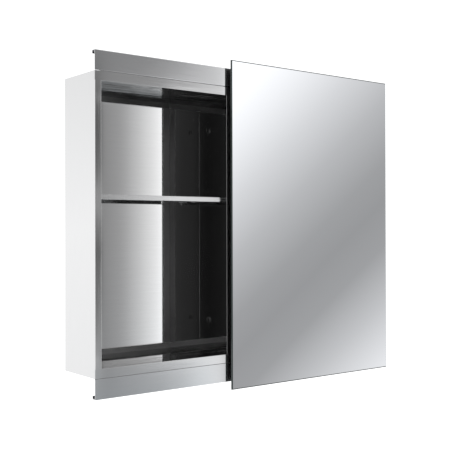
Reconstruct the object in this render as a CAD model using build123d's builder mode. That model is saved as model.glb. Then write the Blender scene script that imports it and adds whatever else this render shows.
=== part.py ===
from build123d import *
import os

# Stainless-steel bathroom wall cabinet with a mirror that slides sideways in front of it.
#
# Frame: origin at the centre of the four wall holes, on the wall plane. +X is to the right as seen
# from the front, +Y points into the wall and +Z is up. The mirror stands at the right end of its
# travel, with the narrow left compartment open.

os.makedirs("parts", exist_ok=True)

# Driving dimensions, mm
WIDTH = 750.0  # steel body, left to right
HEIGHT = 545.0  # steel body, without its rails
DEPTH = 115.0  # wall to the front flanges
SHEET = 1.2  # sheet steel of the body, rails and shelves
BEND = 0.8  # bend radius at the middle of the sheet
RELIEF = 2.0  # notch where two bends meet in a corner

FLANGE = 17.0  # front flange of the top and bottom panels
STILE = 13.0  # front flange of the side panels
DIVIDER_FROM_LEFT = 309.0  # left side of the body to the divider's left face
DIVIDER_FLANGE = 15.5  # front flange of the divider, left of its face
RETURN = 8.0  # the body's front flanges turn back this far, for a safe edge
NOTCH_PLAY = 0.2  # beside a side panel or the divider, where a return is cut away
LINER = 3.0  # shallow tray that covers the rails' stud welds, inside the top and bottom
LINER_PLAY = 0.3

RAIL_HEIGHT = 37.0  # rail above and below the body
RAIL_LEG = 40.0  # rail's foot, which lies on the body
LIP_DEPTH = 10.0  # folded lip that carries the mirror
LIP_RETURN = 6.5
STUD_COUNT = 6
STUD_SPACING = 130.0
STUD_RADIUS = 2.0
STUD_LENGTH = 7.0
STUD_BACK = 23.0  # studs, behind the front plane
STUD_HOLE_RADIUS = 2.3
STUD_CHAMFER = 0.4
NUT_WASHER_RADIUS = 4.6
NUT_WASHER = 0.8
NUT_ACROSS_FLATS = 7.0
NUT_HEIGHT = 2.6

SHELF_TOP = 54.0  # above the middle of the body
SHELF_BACK = 9.0  # shelf's front lip, behind the front plane
SHELF_LIP = 9.0
SHELF_HEM = 11.0
SHELF_PLAY = 0.5  # gap at each end of a shelf
SHELF_REAR_GAP = 3.0
LIP_LEFT_GAP = 4.0  # the lip stops short of the flanges beside it
LIP_RIGHT_GAP = 10.5
LIP_END_ROUNDING = 1.0
CORNER_NOTCH = 9.0  # depth of the notch in a shelf's front corners
PEG_RADIUS = 2.5
PEG_LENGTH = 9.0
PEG_BACKS = (53.0, 97.0)  # pegs, behind the front plane

PLUG_RADIUS = 6.0
PLUG_HEIGHT = 3.6
PLUG_BACK = 81.0  # plugs, behind the front plane
PLUG_Z = 195.0

WALL_HOLE_RADIUS = 3.5
WALL_HOLE_SPACING_X = 670.0
WALL_HOLE_SPACING_Z = 400.0

MIRROR_WIDTH = 450.0
MIRROR_HEIGHT = 650.0
MIRROR_RIGHT_INSET = 3.0  # right edge of the mirror, inside the body's right side
MIRROR_FRONT = 11.3  # front of the glass, ahead of the flanges
GLASS = 4.0
BACKING = 1.0
BACKING_INSET = 1.5
ARRIS = 0.5  # ground edge of the glass

ADHESIVE = 0.8
ADHESIVE_WIDTH = 28.0
ADHESIVE_LENGTH = 560.0
CARRIER = 1.5
CARRIER_WIDTH = 36.0
CARRIER_INSET = 60.0  # middle of a carrier, inside the mirror's edge
CARRIER_TOP = 321.5
CARRIER_BOTTOM = -316.5
CARRIER_CORNER = 4.0

TREAD_RADIUS = 6.5
ROLLER_FLANGE_RADIUS = 8.5
ROLLER_FLANGE = 1.5
ROLLER_GAP = 0.3  # groove beside the lip, each side
RUNNING_GAP = 0.25  # tread above the lip
JOURNAL_RADIUS = 2.5
JOURNAL_PLAY = 0.06
SHOULDER_RADIUS = 4.5
AXLE_PLAY = 0.2  # between an axle's shoulder and its roller
FLANGE_TAPER = 0.5  # roller flanges widen by this much towards their rims
CLIP = 0.9
CLIP_PLAY = 0.3
CLIP_RADIUS = 4.5
CLIP_GROOVE_RADIUS = 1.9
CLIP_MOUTH = 2.4
AXLE_COLLAR = 0.9  # past the clip's groove
AXLE_CHAMFER = 0.5

GUIDE_LENGTH = 24.0
GUIDE_WALL = 3.0
GUIDE_BASE = 6.2
GUIDE_GAP = 0.4
GUIDE_ARM_TOP = -300.0
GUIDE_CHAMFER = 1.0
GUIDE_SCREW_RADIUS = 1.5
GUIDE_SCREW_SPACING = 14.0
GUIDE_SCREW_LENGTH = 10.0
SCREW_HEAD_RADIUS = 2.8
SCREW_PLAY = 0.05

STOP_LENGTH = 12.0
STOP_DEPTH = 6.0
STOP_RISE = 1.5  # top stop, above the lip that hides it
STOP_GAP = 0.5
STOP_ROUNDING = 1.0

# Places worked out from the dimensions
FRONT = -DEPTH
SIDE = WIDTH / 2
TOP = HEIGHT / 2
MID = SHEET / 2
OPENING_TOP = TOP - FLANGE
RAIL_TOP = TOP + RAIL_HEIGHT
LIP_BACK = FRONT + LIP_DEPTH
LIP_MIDDLE = FRONT + LIP_DEPTH / 2
DIVIDER_X = DIVIDER_FROM_LEFT - SIDE

GLASS_FRONT = FRONT - MIRROR_FRONT
GLASS_BACK = GLASS_FRONT + GLASS
BACKING_BACK = GLASS_BACK + BACKING
CARRIER_FRONT = BACKING_BACK + ADHESIVE
CARRIER_BACK = CARRIER_FRONT + CARRIER
MIRROR_RIGHT = SIDE - MIRROR_RIGHT_INSET
MIRROR_LEFT = MIRROR_RIGHT - MIRROR_WIDTH
MIRROR_X = (MIRROR_LEFT + MIRROR_RIGHT) / 2
CARRIER_X = {"left": MIRROR_LEFT + CARRIER_INSET, "right": MIRROR_RIGHT - CARRIER_INSET}

ROLLER_Z = RAIL_TOP + RUNNING_GAP + TREAD_RADIUS
ROLLER_HALF = LIP_DEPTH / 2 + ROLLER_GAP + ROLLER_FLANGE
ROLLER_BACK = LIP_MIDDLE + ROLLER_HALF
CLIP_FRONT = ROLLER_BACK + CLIP_PLAY
GUIDE_SLOT_BOTTOM = -RAIL_TOP - GUIDE_GAP
GUIDE_BOTTOM = GUIDE_SLOT_BOTTOM - GUIDE_BASE
GUIDE_SCREW_Z = GUIDE_SLOT_BOTTOM - GUIDE_BASE / 2


def folded_sheet(plane, *mid_line):
    """Section of a sheet folded along mid_line, drawn on the plane."""
    with BuildSketch(plane) as section:
        with BuildLine():
            FilletPolyline(*mid_line, radius=BEND)
        trace(line_width=SHEET)
    return section.sketch


def write_step(piece, label):
    """Labels a finished piece and writes it under that name."""
    piece.part.label = label
    export_step(piece.part, f"parts/{label}.step")


# Top and bottom panels: a front flange over the full width, its return cut away at each upright
across = Plane.YZ.offset(-SIDE)
uprights = (-SIDE + MID, DIVIDER_X + MID, SIDE - MID)
notch_front = FRONT + SHEET + RELIEF - NOTCH_PLAY
notch_depth = SHEET + 2 * RETURN
for label, up in (("top_panel", 1), ("bottom_panel", -1)):
    web = up * (TOP - MID)
    lip = up * (OPENING_TOP + MID)
    with BuildPart() as panel:
        extrude(
            folded_sheet(
                across, (0, web), (FRONT + MID, web), (FRONT + MID, lip), (FRONT + RETURN, lip)
            ),
            amount=WIDTH,
        )
        for x in uprights:
            with Locations((x, notch_front + notch_depth / 2, lip)):
                Box(SHEET + 2 * NOTCH_PLAY, notch_depth, 2 * SHEET, mode=Mode.SUBTRACT)
    write_step(panel, label)

# Side panels: the stile ends between the top and bottom flanges, and the web runs on behind them
for label, out in (("left_side_panel", -1), ("right_side_panel", 1)):
    web = out * (SIDE - MID)
    stile_edge = out * (SIDE - STILE + MID)
    with BuildPart() as panel:
        extrude(
            folded_sheet(
                Plane.XY.offset(-OPENING_TOP),
                (web, 0),
                (web, FRONT + MID),
                (stile_edge, FRONT + MID),
                (stile_edge, FRONT + RETURN),
            ),
            amount=2 * OPENING_TOP,
        )
        with Locations((web, (FRONT + SHEET + RELIEF) / 2, 0)):
            Box(SHEET, DEPTH - SHEET - RELIEF, 2 * (TOP - SHEET))
    write_step(panel, label)

# Back panel, with the four wall holes
with BuildPart() as back_panel:
    with Locations((0, -MID, 0)):
        Box(WIDTH - 2 * SHEET, SHEET, 2 * (TOP - SHEET))
    with BuildSketch(Plane.XZ):
        with GridLocations(WALL_HOLE_SPACING_X, WALL_HOLE_SPACING_Z, 2, 2):
            Circle(WALL_HOLE_RADIUS)
    extrude(amount=SHEET, mode=Mode.SUBTRACT)
write_step(back_panel, "back_panel")

# Divider: a polished wall with a front flange turned to the left
divider_web = DIVIDER_X + MID
with BuildPart() as divider_panel:
    extrude(
        folded_sheet(
            Plane.XY.offset(-OPENING_TOP),
            (divider_web, -SHEET),
            (divider_web, FRONT + MID),
            (DIVIDER_X - DIVIDER_FLANGE, FRONT + MID),
        ),
        amount=2 * OPENING_TOP,
    )
    with Locations((divider_web, (FRONT + RELIEF) / 2, 0)):
        Box(SHEET, DEPTH - 2 * SHEET - RELIEF, 2 * (TOP - SHEET))
write_step(divider_panel, "divider_panel")

# Liners, one tray at the top and one at the bottom of each compartment
liner_rear = -SHEET - LINER_PLAY - MID
liner_front = FRONT + SHEET + LINER_PLAY + MID
liner_spans = ((-SIDE + SHEET, DIVIDER_X), (DIVIDER_X + SHEET, SIDE - SHEET))
for label, up in (("top_liner", 1), ("bottom_liner", -1)):
    web = up * (TOP - SHEET)
    face = up * (TOP - SHEET - LINER + MID)
    with BuildPart() as liner:
        for start, end in liner_spans:
            extrude(
                folded_sheet(
                    Plane.YZ.offset(start + LINER_PLAY),
                    (liner_rear, web),
                    (liner_rear, face),
                    (liner_front, face),
                    (liner_front, web),
                ),
                amount=end - start - 2 * LINER_PLAY,
            )
    write_step(liner, label)

# Domed plugs on the divider's left face
plug_sphere = (PLUG_RADIUS**2 + PLUG_HEIGHT**2) / (2 * PLUG_HEIGHT)
with BuildPart() as divider_plugs:
    with Locations((DIVIDER_X, FRONT + PLUG_BACK, PLUG_Z), (DIVIDER_X, FRONT + PLUG_BACK, -PLUG_Z)):
        with Locations((plug_sphere - PLUG_HEIGHT, 0, 0)):
            Sphere(plug_sphere)
    split(bisect_by=Plane.YZ.offset(DIVIDER_X), keep=Keep.BOTTOM)
write_step(divider_plugs, "divider_plugs")

# Shelves: a front lip turned down and hemmed back, notched corners, resting on four pegs each
shelf_places = {
    "left": ((-SIDE + SHEET, DIVIDER_X), (-SIDE + STILE, DIVIDER_X - DIVIDER_FLANGE)),
    "right": ((DIVIDER_X + SHEET, SIDE - SHEET), (DIVIDER_X + SHEET, SIDE - STILE)),
}
shelf_front = FRONT + SHELF_BACK
for side, ((start, end), (mouth_start, mouth_end)) in shelf_places.items():
    plate_depth = -SHELF_REAR_GAP - shelf_front - CORNER_NOTCH
    with BuildPart() as shelf:
        extrude(
            folded_sheet(
                Plane.YZ.offset(mouth_start + LIP_LEFT_GAP),
                (-SHELF_REAR_GAP, SHELF_TOP - MID),
                (shelf_front + MID, SHELF_TOP - MID),
                (shelf_front + MID, SHELF_TOP - SHELF_LIP + MID),
                (shelf_front + SHELF_HEM, SHELF_TOP - SHELF_LIP + MID),
            ),
            amount=mouth_end - mouth_start - LIP_LEFT_GAP - LIP_RIGHT_GAP,
        )
        fillet(shelf.edges().filter_by(Axis.Z).group_by(Axis.Y)[0], LIP_END_ROUNDING)
        with Locations(((start + end) / 2, -SHELF_REAR_GAP - plate_depth / 2, SHELF_TOP - MID)):
            Box(end - start - 2 * SHELF_PLAY, plate_depth, SHEET)
    write_step(shelf, f"{side}_shelf")

    peg_z = SHELF_TOP - SHEET - PEG_RADIUS
    with BuildPart() as pegs:
        for peg_back in PEG_BACKS:
            for wall, inward in ((start, 1), (end, -1)):
                with Locations((wall + inward * PEG_LENGTH / 2, FRONT + peg_back, peg_z)):
                    Cylinder(PEG_RADIUS, PEG_LENGTH, rotation=(0, 90, 0))
    write_step(pegs, f"{side}_shelf_pegs")

# Rails: a foot on the body, a front plate and a hooked lip that the mirror hangs on or runs round
stud_places = GridLocations(STUD_SPACING, 0, STUD_COUNT, 1)
for label, up in (("top_rail", 1), ("bottom_rail", -1)):
    foot = up * (TOP + MID)
    lip = up * (RAIL_TOP - MID)
    stud_plane = Plane((0, FRONT + STUD_BACK, up * TOP), x_dir=(1, 0, 0), z_dir=(0, 0, up))
    with BuildPart() as rail:
        extrude(
            folded_sheet(
                across,
                (FRONT + RAIL_LEG, foot),
                (FRONT + MID, foot),
                (FRONT + MID, lip),
                (LIP_BACK - MID, lip),
                (LIP_BACK - MID, up * (RAIL_TOP - LIP_RETURN)),
            ),
            amount=WIDTH,
        )
        with BuildSketch(stud_plane):
            with stud_places:
                Circle(STUD_HOLE_RADIUS)
        extrude(amount=SHEET, mode=Mode.SUBTRACT)
    write_step(rail, label)

    with BuildPart() as studs:
        with BuildSketch(stud_plane):
            with stud_places:
                Circle(STUD_RADIUS)
        extrude(amount=STUD_LENGTH)
        stud_ends = studs.edges().filter_by(GeomType.CIRCLE).sort_by(Axis.Z, reverse=up < 0)
        chamfer(stud_ends[-STUD_COUNT:], STUD_CHAMFER)
    write_step(studs, f"{label}_studs")

    with BuildPart() as nuts:
        with BuildSketch(stud_plane.offset(SHEET)):
            with stud_places:
                Circle(NUT_WASHER_RADIUS)
                Circle(STUD_RADIUS + SCREW_PLAY, mode=Mode.SUBTRACT)
        extrude(amount=NUT_WASHER)
        with BuildSketch(stud_plane.offset(SHEET + NUT_WASHER)):
            with stud_places:
                RegularPolygon(NUT_ACROSS_FLATS / 2, 6, major_radius=False)
                Circle(STUD_RADIUS + SCREW_PLAY, mode=Mode.SUBTRACT)
        extrude(amount=NUT_HEIGHT)
    write_step(nuts, f"{label}_nuts")

# Rubber stops behind the lips, just past the last place of a roller or guide
roller_reach = (ROLLER_FLANGE_RADIUS**2 - (ROLLER_Z - RAIL_TOP - STOP_RISE) ** 2) ** 0.5
stop_low = RAIL_TOP - LIP_RETURN
stop_rows = {
    "top_rail_stops": (roller_reach, stop_low, RAIL_TOP + STOP_RISE),
    "bottom_rail_stops": (GUIDE_LENGTH / 2, -RAIL_TOP + SHEET, -stop_low),
}
for label, (reach, low, high) in stop_rows.items():
    stop_x = CARRIER_X["right"] + reach + STOP_GAP + STOP_LENGTH / 2
    with BuildPart() as stops:
        with Locations(
            (-stop_x, LIP_BACK + STOP_DEPTH / 2, (low + high) / 2),
            (stop_x, LIP_BACK + STOP_DEPTH / 2, (low + high) / 2),
        ):
            Box(STOP_LENGTH, STOP_DEPTH, high - low)
        fillet(stops.edges().filter_by(Axis.Z).group_by(Axis.Y)[-1], STOP_ROUNDING)
    write_step(stops, label)

# Mirror: ground-edge glass on a black safety backing
with BuildPart() as mirror_glass:
    with Locations((MIRROR_X, (GLASS_FRONT + GLASS_BACK) / 2, 0)):
        Box(MIRROR_WIDTH, GLASS, MIRROR_HEIGHT)
    chamfer(mirror_glass.faces().sort_by(Axis.Y)[0].edges(), ARRIS)
write_step(mirror_glass, "mirror_glass")

with BuildPart() as backing_plate:
    with Locations((MIRROR_X, (GLASS_BACK + BACKING_BACK) / 2, 0)):
        Box(MIRROR_WIDTH - 2 * BACKING_INSET, BACKING, MIRROR_HEIGHT - 2 * BACKING_INSET)
write_step(backing_plate, "backing_plate")

with BuildPart() as adhesive_strips:
    for x in CARRIER_X.values():
        with Locations((x, (BACKING_BACK + CARRIER_FRONT) / 2, 0)):
            Box(ADHESIVE_WIDTH, ADHESIVE, ADHESIVE_LENGTH)
write_step(adhesive_strips, "adhesive_strips")

# Carriers, axles, rollers and guides, one set near each edge of the mirror
for side, x in CARRIER_X.items():
    with BuildPart() as carrier:
        with BuildSketch(Plane.XZ.offset(-CARRIER_FRONT)):
            with Locations((x, (CARRIER_TOP + CARRIER_BOTTOM) / 2)):
                RectangleRounded(CARRIER_WIDTH, CARRIER_TOP - CARRIER_BOTTOM, CARRIER_CORNER)
            with Locations((x, ROLLER_Z)):
                Circle(JOURNAL_RADIUS + SCREW_PLAY, mode=Mode.SUBTRACT)
        extrude(amount=-CARRIER)
        with Locations(Plane.XZ.offset(-CARRIER_FRONT)):
            with Locations((x, GUIDE_SCREW_Z)):
                with GridLocations(GUIDE_SCREW_SPACING, 0, 2, 1):
                    CounterSinkHole(
                        GUIDE_SCREW_RADIUS + SCREW_PLAY, SCREW_HEAD_RADIUS + SCREW_PLAY
                    )
    write_step(carrier, f"{side}_carrier")

    roller_axis = Axis((x, 0, ROLLER_Z), (0, 1, 0))
    through_axis = Plane((x, 0, ROLLER_Z), x_dir=(0, 1, 0), z_dir=(1, 0, 0))
    axle_end = CLIP_FRONT + CLIP + AXLE_COLLAR + AXLE_CHAMFER
    with BuildPart() as axle:
        with BuildSketch(through_axis):
            with BuildLine():
                Polyline(
                    (CARRIER_FRONT, 0),
                    (CARRIER_FRONT, JOURNAL_RADIUS),
                    (CARRIER_BACK, JOURNAL_RADIUS),
                    (CARRIER_BACK, SHOULDER_RADIUS),
                    (LIP_MIDDLE - ROLLER_HALF - AXLE_PLAY, SHOULDER_RADIUS),
                    (LIP_MIDDLE - ROLLER_HALF - AXLE_PLAY, JOURNAL_RADIUS),
                    (CLIP_FRONT, JOURNAL_RADIUS),
                    (CLIP_FRONT, CLIP_GROOVE_RADIUS),
                    (CLIP_FRONT + CLIP, CLIP_GROOVE_RADIUS),
                    (CLIP_FRONT + CLIP, JOURNAL_RADIUS),
                    (axle_end - AXLE_CHAMFER, JOURNAL_RADIUS),
                    (axle_end, JOURNAL_RADIUS - AXLE_CHAMFER),
                    (axle_end, 0),
                    close=True,
                )
            make_face()
        revolve(axis=roller_axis)
    write_step(axle, f"{side}_axle")

    with BuildPart() as roller:
        with BuildSketch(through_axis):
            with BuildLine():
                tread_half = LIP_DEPTH / 2 + ROLLER_GAP
                bore = JOURNAL_RADIUS + JOURNAL_PLAY
                Polyline(
                    (LIP_MIDDLE - ROLLER_HALF, bore),
                    (LIP_MIDDLE - ROLLER_HALF, ROLLER_FLANGE_RADIUS),
                    (LIP_MIDDLE - tread_half - FLANGE_TAPER, ROLLER_FLANGE_RADIUS),
                    (LIP_MIDDLE - tread_half, TREAD_RADIUS),
                    (LIP_MIDDLE + tread_half, TREAD_RADIUS),
                    (LIP_MIDDLE + tread_half + FLANGE_TAPER, ROLLER_FLANGE_RADIUS),
                    (LIP_MIDDLE + ROLLER_HALF, ROLLER_FLANGE_RADIUS),
                    (LIP_MIDDLE + ROLLER_HALF, bore),
                    close=True,
                )
            make_face()
        revolve(axis=roller_axis)
    write_step(roller, f"{side}_roller")

    with BuildPart() as guide:
        with BuildSketch(Plane.YZ.offset(x - GUIDE_LENGTH / 2)):
            with BuildLine():
                slot_front = FRONT - GUIDE_GAP
                slot_back = LIP_BACK + GUIDE_GAP
                Polyline(
                    (CARRIER_BACK, GUIDE_BOTTOM),
                    (CARRIER_BACK, GUIDE_ARM_TOP),
                    (slot_front, GUIDE_ARM_TOP),
                    (slot_front, GUIDE_SLOT_BOTTOM),
                    (slot_back, GUIDE_SLOT_BOTTOM),
                    (slot_back, GUIDE_ARM_TOP),
                    (slot_back + GUIDE_WALL, GUIDE_ARM_TOP),
                    (slot_back + GUIDE_WALL, GUIDE_BOTTOM),
                    close=True,
                )
            make_face()
        extrude(amount=GUIDE_LENGTH)
        chamfer(guide.edges().filter_by(Axis.X).group_by(Axis.Z)[0], GUIDE_CHAMFER)
        with BuildSketch(Plane.XZ.offset(-CARRIER_BACK)):
            with Locations((x, GUIDE_SCREW_Z)):
                with GridLocations(GUIDE_SCREW_SPACING, 0, 2, 1):
                    Circle(GUIDE_SCREW_RADIUS + SCREW_PLAY)
        extrude(amount=-GUIDE_SCREW_LENGTH, mode=Mode.SUBTRACT)
    write_step(guide, f"{side}_guide")

# Open retaining clips in the axles' grooves
with BuildPart() as axle_clips:
    with BuildSketch(Plane.XZ.offset(-CLIP_FRONT)):
        for x in CARRIER_X.values():
            with Locations((x, ROLLER_Z)):
                Circle(CLIP_RADIUS)
                Circle(CLIP_GROOVE_RADIUS + SCREW_PLAY, mode=Mode.SUBTRACT)
            with Locations((x, ROLLER_Z - CLIP_RADIUS)):
                Rectangle(CLIP_MOUTH, CLIP_RADIUS, mode=Mode.SUBTRACT)
    extrude(amount=-CLIP)
write_step(axle_clips, "axle_clips")

# Countersunk screws that hold the guides, their heads flush with the carriers' front
with BuildPart() as guide_screws:
    for x in CARRIER_X.values():
        for offset_x in (-GUIDE_SCREW_SPACING / 2, GUIDE_SCREW_SPACING / 2):
            screw_x = x + offset_x
            head_depth = SCREW_HEAD_RADIUS - GUIDE_SCREW_RADIUS
            with BuildSketch(Plane((screw_x, 0, GUIDE_SCREW_Z), x_dir=(0, 1, 0), z_dir=(1, 0, 0))):
                with BuildLine():
                    Polyline(
                        (CARRIER_FRONT, 0),
                        (CARRIER_FRONT, SCREW_HEAD_RADIUS),
                        (CARRIER_FRONT + head_depth, GUIDE_SCREW_RADIUS),
                        (CARRIER_FRONT + GUIDE_SCREW_LENGTH, GUIDE_SCREW_RADIUS),
                        (CARRIER_FRONT + GUIDE_SCREW_LENGTH, 0),
                        close=True,
                    )
                make_face()
            revolve(axis=Axis((screw_x, 0, GUIDE_SCREW_Z), (0, 1, 0)))
write_step(guide_screws, "guide_screws")
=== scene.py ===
import math

import bmesh
import bpy
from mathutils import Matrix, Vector


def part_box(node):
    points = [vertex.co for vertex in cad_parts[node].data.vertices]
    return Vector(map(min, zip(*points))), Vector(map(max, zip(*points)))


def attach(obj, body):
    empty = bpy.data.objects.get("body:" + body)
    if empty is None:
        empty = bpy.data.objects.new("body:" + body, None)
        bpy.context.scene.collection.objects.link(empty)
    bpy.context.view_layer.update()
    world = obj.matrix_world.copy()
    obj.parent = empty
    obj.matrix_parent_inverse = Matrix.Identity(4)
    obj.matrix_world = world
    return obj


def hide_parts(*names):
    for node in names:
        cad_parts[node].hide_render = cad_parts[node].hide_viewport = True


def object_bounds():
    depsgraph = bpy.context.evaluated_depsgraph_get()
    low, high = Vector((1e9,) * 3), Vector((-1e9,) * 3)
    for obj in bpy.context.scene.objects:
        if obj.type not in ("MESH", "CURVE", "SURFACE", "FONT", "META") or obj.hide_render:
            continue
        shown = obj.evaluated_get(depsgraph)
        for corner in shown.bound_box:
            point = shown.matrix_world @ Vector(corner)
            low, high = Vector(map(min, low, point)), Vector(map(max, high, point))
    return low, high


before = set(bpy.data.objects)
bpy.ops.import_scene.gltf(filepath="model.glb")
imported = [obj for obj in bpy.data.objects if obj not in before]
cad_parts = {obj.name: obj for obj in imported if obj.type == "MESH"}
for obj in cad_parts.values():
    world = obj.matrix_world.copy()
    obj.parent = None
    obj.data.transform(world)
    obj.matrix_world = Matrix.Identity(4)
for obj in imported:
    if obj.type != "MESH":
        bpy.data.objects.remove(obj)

CAD_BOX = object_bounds()

MM = 0.001

# Camera, in the frame's metres and in degrees: it stands in front of the left end, level with the middle
CAMERA_AT = (-1.0966, -1.4258, -0.0094)
CAMERA_YAW = -37.63
CAMERA_PITCH = 0.306
CAMERA_ROLL = 0.12
LENS = 67.2
SENSOR = 36.0

# Floor and overhead light, in metres
FLOOR_BELOW = 1.08  # the cabinet hangs this far above the floor
FLOOR_RADIUS = 3.0
FLOOR_SIDES = 96
FLOOR_GREYS = (0.60, 0.65)
OVERHEAD_AT = (-0.3, -0.6, 2.6)
OVERHEAD_SIZE = 2.4
OVERHEAD_WATTS = 60

# Sheet steel, in metres as all the sizes below
SHEET = 1.2 * MM
OUTER_BEND = 0.35 * MM
INNER_BEND = 0.15 * MM
STILE_BEND = 0.8 * MM
CUT_EDGE = 0.2 * MM
FLANGE_RETURN = 8 * MM  # how far a front flange turns back at its edge

# Rails
RAIL_GAP = 0.6 * MM  # gap under a rail's foot, filled by a dark strip of painted shade
FOOT_CUT = 12 * MM
# How far behind the front the dark strip of painted shade in a rail's crease starts
SHADE_STRIP_FRONTS = {"top_rail": 5 * MM, "bottom_rail": 0.4 * MM}
RAIL_BENDS = {"top_rail": 1.0 * MM, "bottom_rail": 0.1 * MM}
RAIL_LIP_DEPTH = 10 * MM
RAIL_LIP_RETURN = 6.5 * MM

# Liners and shelves
LINER_PLAY = 0.3 * MM
SHELF_LIP_LEFT_GAP = 4 * MM
SHELF_LIP_RIGHT_GAP = 10.5 * MM
SHELF_LIP_SEAM = 3 * MM
SHELF_HEM = 11 * MM
SHELF_NOTCH = 9 * MM
SHELF_CORNER = 0.8 * MM

# A shelf peg, as (millimetres from the wall, share of the radius)
PEG_SHAPE = (
    (0, 0.8), (0.6, 1), (2.6, 1), (2.9, 0.84), (3.4, 0.84), (3.7, 1), (8.3, 1), (8.8, 0.86), (9.0, 0.6)
)
# A divider cap from its foot to its middle, as (share of the CAD cap's height, share of the radius)
CAP_SHAPE = (
    (0, 1), (0.2, 1), (0.32, 0.985), (0.42, 0.95), (0.49, 0.89), (0.52, 0.82), (0.5, 0.74),
    (0.46, 0.66), (0.44, 0.5), (0.43, 0.25), (0.43, 0.02),
)

# Studs, nuts and washers
STUD_COUNT = 6
STUD_RADIUS = 2.05 * MM
STUD_TIP = ((0.2 * MM, 0.9), (0.0, 0.78))  # as (distance from the tip, share of the radius)
THREAD_PITCH = 0.7 * MM
THREAD_ROOT = 0.86  # share of the radius
WASHER = 0.8 * MM  # thickness
NUT_CORNER = 4.04 * MM  # radius at the corners
NUT_CHAMFER = 0.3 * MM
NUT_SOFTEN = 0.1 * MM

# End stops, with a row of tapered grooves across the back
STOP_LENGTH = 12 * MM
STOP_ROUND = 0.3 * MM
GROOVE_COUNT = 3
GROOVE_INSET = 2.5 * MM
GROOVE_DEPTH = 0.7 * MM
GROOVE_ROUND = 0.2 * MM
GROOVE_MOUTH = 0.8 * MM  # half of its width
GROOVE_FLOOR = 0.4 * MM  # half of its width

# Mirror, tape and carriers
ARRIS = 2.3 * MM
PANE_CORNER = 1.2 * MM
TAPE_WIDTH = 28 * MM
TAPE_CORNER = 1.0 * MM
FILM_SOFTEN = 0.2 * MM
CARRIER_CORNER = 4 * MM
CARRIER_SOFTEN = 0.25 * MM

# Axles, rollers and guides
JOURNAL = 2.5 * MM  # radius
JOURNAL_PLAY = 0.06 * MM
CLIP_GROOVE = 1.9 * MM  # radius
AXLE_CHAMFER = 0.3 * MM
BORE_CHAMFER = 0.3 * MM
ROLLER_GAP = 0.3 * MM
ROLLER_FLANGE_RISE = 2 * MM
ROLLER_DISH = 0.35 * MM  # depth of the ring sunk into each face
GUIDE_GAP = 0.4 * MM

SHARP_ANGLE = 35  # degrees, between faces that stay sharp on a smooth piece
BEVEL_ANGLE = 40  # degrees, between faces whose edge is softened


# ---------------------------------------------------------------- node helpers

def new_node(tree, kind, **settings):
    """Adds a node. Settings that name an input, or number it as i0, set it from a link or a value.

    The other settings are the node's own attributes.
    """
    node = tree.nodes.new(kind)
    for key, value in settings.items():
        if hasattr(node, key):
            setattr(node, key, value)
            continue
        numbered = key[0] == "i" and key[1:].isdigit()
        socket = node.inputs[int(key[1:]) if numbered else key.replace("_", " ")]
        if isinstance(value, bpy.types.NodeSocket):
            tree.links.new(value, socket)
        else:
            socket.default_value = value
    return node


def math_node(tree, operation, a, b=0.0):
    """One Math node's output."""
    return new_node(tree, "ShaderNodeMath", operation=operation, i0=a, i1=b).outputs[0]


def invert(tree, share):
    """1 minus share."""
    return math_node(tree, "SUBTRACT", 1.0, share)


def profile(tree, value, stops):
    """A piecewise-linear function of value, given as (value, result) stops, through a colour ramp."""
    low, high = stops[0][0], stops[-1][0]
    top = max(result for _, result in stops)
    share = new_node(
        tree, "ShaderNodeMapRange", Value=value, From_Min=low, From_Max=high, clamp=True
    ).outputs[0]
    ramp = new_node(tree, "ShaderNodeValToRGB", Fac=share)
    elements = ramp.color_ramp.elements
    while len(elements) < len(stops):
        elements.new(0.5)
    for element, (at, result) in zip(elements, stops):
        element.position = (at - low) / (high - low)
        level = result / top
        element.color = (level, level, level, 1)
    return math_node(tree, "MULTIPLY", ramp.outputs[0], top)


def smooth_step(tree, value, low, high):
    """0 below low, 1 above high, and a smooth turn between."""
    return new_node(
        tree,
        "ShaderNodeMapRange",
        interpolation_type="SMOOTHSTEP",
        Value=value,
        From_Min=low,
        From_Max=high,
    ).outputs[0]


def blend_values(tree, share, without, full):
    """without where share is 0 and full where it is 1; each is a link or a number."""
    return new_node(
        tree, "ShaderNodeMix", data_type="FLOAT", i0=share, i2=without, i3=full
    ).outputs[0]


def blend_colours(tree, share, without, full):
    """The same with colours."""
    return new_node(
        tree, "ShaderNodeMix", data_type="RGBA", i0=share, i6=without, i7=full
    ).outputs[2]


# ---------------------------------------------------------------- studio

# The studio is as bright as these (degrees, brightness) stops say. Heading is the angle from -Y
# towards +X, height is the angle above the horizon, and a pair is where a blend starts and ends.

# By heading: light on the far left, a dark gap round the camera, and a broad soft light in the middle
CAMERA_SIDE = (
    (-90, 2.2), (-60, 2.2), (-48, 0.20), (-44, 0.08), (-38.2, 0.030), (-37.4, 0.019),
    (-36.9, 0.0165), (-36.6, 0.0115), (-36.3, 0.0090), (-36.1, 0.0125), (-35.93, 0.0140),
    (-35.80, 0.030), (-35.70, 0.042), (-35.40, 0.050), (-35.32, 0.050), (-35.28, 0.085),
    (-35.24, 0.045), (-35.1, 0.042), (-34.6, 0.052), (-34.2, 0.062), (-33.7, 0.090), (-30, 0.12),
    (-20, 0.5), (-4, 0.95), (6, 1.0), (20, 0.5), (26, 0.24),
)

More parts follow.
